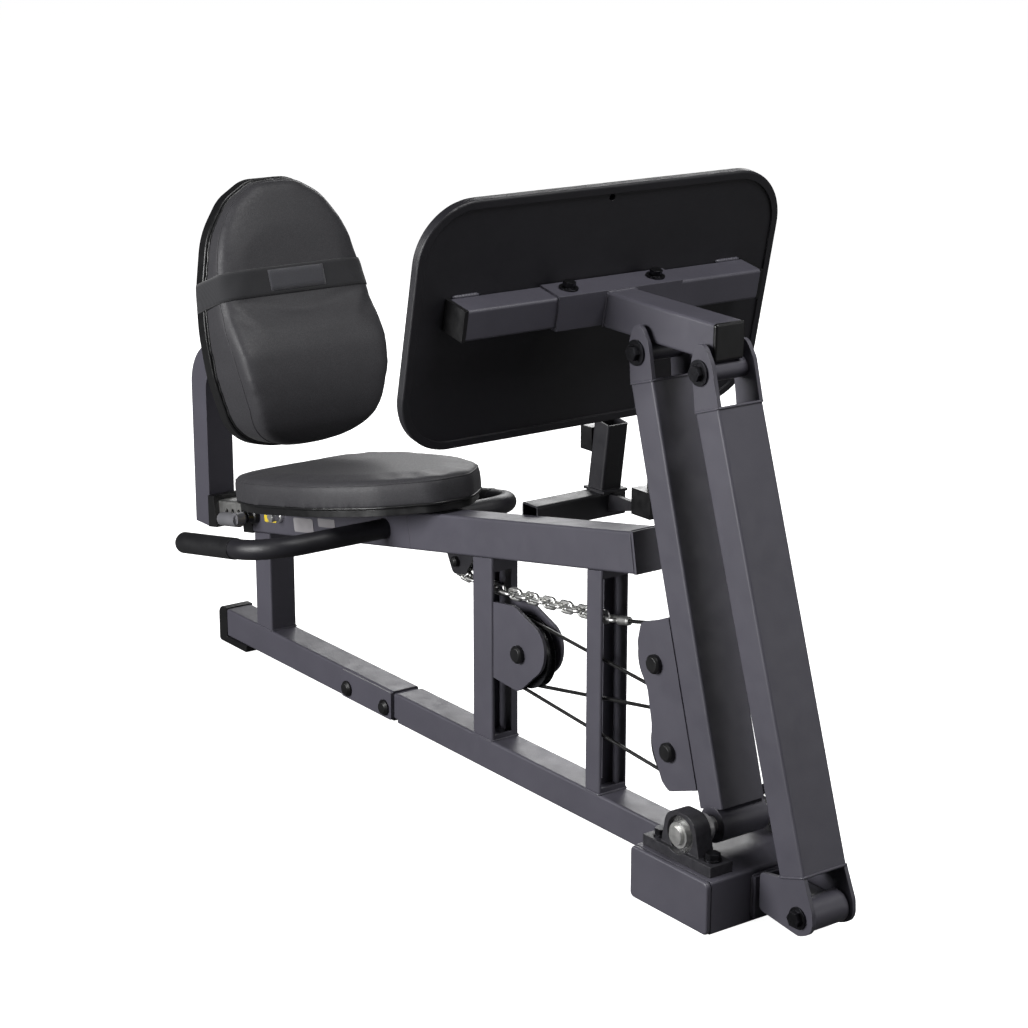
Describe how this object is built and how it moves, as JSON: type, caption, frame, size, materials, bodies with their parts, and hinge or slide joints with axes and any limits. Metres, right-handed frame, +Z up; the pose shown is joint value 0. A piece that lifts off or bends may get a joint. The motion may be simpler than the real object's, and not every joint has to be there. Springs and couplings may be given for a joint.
{
  "type": "leg press station",
  "caption": "Seated leg-press station: padded seat and sliding back on an inclined rail, and a foot plate on a hinged twin-arm linkage with a cable, chain and pulleys.",
  "frame": {"origin": "on the floor under the middle of the whole machine's box", "axes": "+X from the back pad towards the linkage, +Y to the seated user's left, +Z up"},
  "size_m": [1.623, 0.62, 0.9372],
  "materials": {
    "frame_paint": "textured powder coat, dark violet grey, satin",
    "black_paint": "satin black powder coat",
    "black_plastic": "moulded black plastic with a slight sheen",
    "pulley_plastic": "machined black nylon",
    "zinc": "bright zinc plate",
    "bearing_steel": "ground bearing steel",
    "cast_housing": "painted iron casting, fine grain",
    "black_hardware": "black oxide",
    "upholstery": "matt black upholstery vinyl, fine grain",
    "elastic": "black woven elastic",
    "grip_rubber": "soft black rubber, matt",
    "cable_jacket": "black nylon coat over steel cable",
    "grey_plastic": "grey moulded plastic"
  },
  "bodies": {
    "root": {"base_tube_rear": "frame_paint", "base_tube_front": "frame_paint", "splice_spigot": "frame_paint", "splice_plates": "frame_paint", "splice_bolt_caps": "black_plastic", "base_rear_cap": "black_plastic", "cross_box": "frame_paint", "rear_upright": "frame_paint", "mid_upright": "frame_paint", "front_upright": "frame_paint", "rail_rear": "frame_paint", "rail_front": "frame_paint", "rail_bushing": "black_plastic", "handle_bar": "black_paint", "handle_grips": "grip_rubber", "seat_board": "black_plastic", "seat_pad": "upholstery", "pin_barrel": "black_plastic", "rail_bolt": "zinc", "frame_cheeks": "frame_paint", "guide_plates": "black_paint", "frame_pulley_bolts": "black_plastic", "pillow_housings": "cast_housing", "bearing_outer_rings": "bearing_steel", "pillow_bolts": "black_hardware", "ground_pivot": "frame_paint", "cable": "cable_jacket", "cable_fittings": "zinc", "chain": "zinc", "side_frame": "black_paint", "side_fittings": "black_plastic"},
    "back": {"adjuster_tube": "zinc", "adjuster_collar": "black_plastic", "back_post": "frame_paint", "back_board": "black_plastic", "back_pad": "upholstery", "back_strap": "elastic"},
    "pull_pin": {"pull_pin": "grey_plastic"},
    "frame_pulley": {"frame_pulley": "pulley_plastic"},
    "guide_pulley": {"guide_pulley": "pulley_plastic"},
    "rear_arm": {"rear_arm": "frame_paint", "rear_arm_lugs": "frame_paint", "rear_shaft": "zinc", "bearing_inner_rings": "zinc", "arm_cheeks": "frame_paint", "arm_pulley_bolts": "black_plastic", "head_pivot_bolt": "black_hardware"},
    "upper_pulley": {"upper_pulley": "pulley_plastic"},
    "lower_pulley": {"lower_pulley": "pulley_plastic"},
    "front_arm": {"front_arm": "frame_paint", "front_arm_lugs": "frame_paint", "front_arm_bolts": "black_hardware"},
    "head": {"head_beam": "frame_paint", "head_pivot_tubes": "frame_paint", "plate_sleeve": "frame_paint", "plate_cross_tube": "frame_paint", "head_caps": "black_plastic", "sleeve_bolts": "black_hardware", "foot_plate": "black_paint", "foot_plate_mat": "grip_rubber"}
  },
  "joints": [
    {"name": "back_slide", "type": "slide", "parent": "root", "child": "back", "axis": [0.9845, 0, 0.1752], "range_m": [-0.084, 0.063]},
    {"name": "pin_pull", "type": "slide", "parent": "root", "child": "pull_pin", "axis": [0, -1, 0], "range_m": [0, 0.012], "stiffness_N_per_m": 400, "springref_m": -0.01},
    {"name": "frame_pulley_spin", "type": "hinge", "parent": "root", "child": "frame_pulley", "pos_m": [0.152, -0.002, 0.22], "axis": [0, 1, 0], "continuous": true},
    {"name": "guide_pulley_spin", "type": "hinge", "parent": "root", "child": "guide_pulley", "pos_m": [-0.014, -0.002, 0.322], "axis": [0, 1, 0], "continuous": true},
    {"name": "rear_arm_hinge", "type": "hinge", "parent": "root", "child": "rear_arm", "pos_m": [0.6137, 0, 0.1115], "axis": [0, 1, 0], "range_deg": [0, 30], "deforming": ["cable"]},
    {"name": "upper_pulley_spin", "type": "hinge", "parent": "rear_arm", "child": "upper_pulley", "pos_m": [0.488, -0.015, 0.304], "axis": [0, 1, 0], "continuous": true},
    {"name": "lower_pulley_spin", "type": "hinge", "parent": "rear_arm", "child": "lower_pulley", "pos_m": [0.519, -0.015, 0.1856], "axis": [0, 1, 0], "continuous": true},
    {"name": "front_arm_hinge", "type": "hinge", "parent": "root", "child": "front_arm", "pos_m": [0.7855, 0, 0.0399], "axis": [0, 1, 0], "range_deg": [0, 26.85]},
    {"name": "head_hinge", "type": "hinge", "parent": "rear_arm", "child": "head", "pos_m": [0.4373, 0, 0.7267], "axis": [0, 1, 0], "range_deg": [-38.1, 0]}
  ],
  "couplings": [
    {"joint": "front_arm_hinge", "follows": "rear_arm_hinge", "ratio": 0.894},
    {"joint": "head_hinge", "follows": "rear_arm_hinge", "ratio": -1.268}
  ]
}
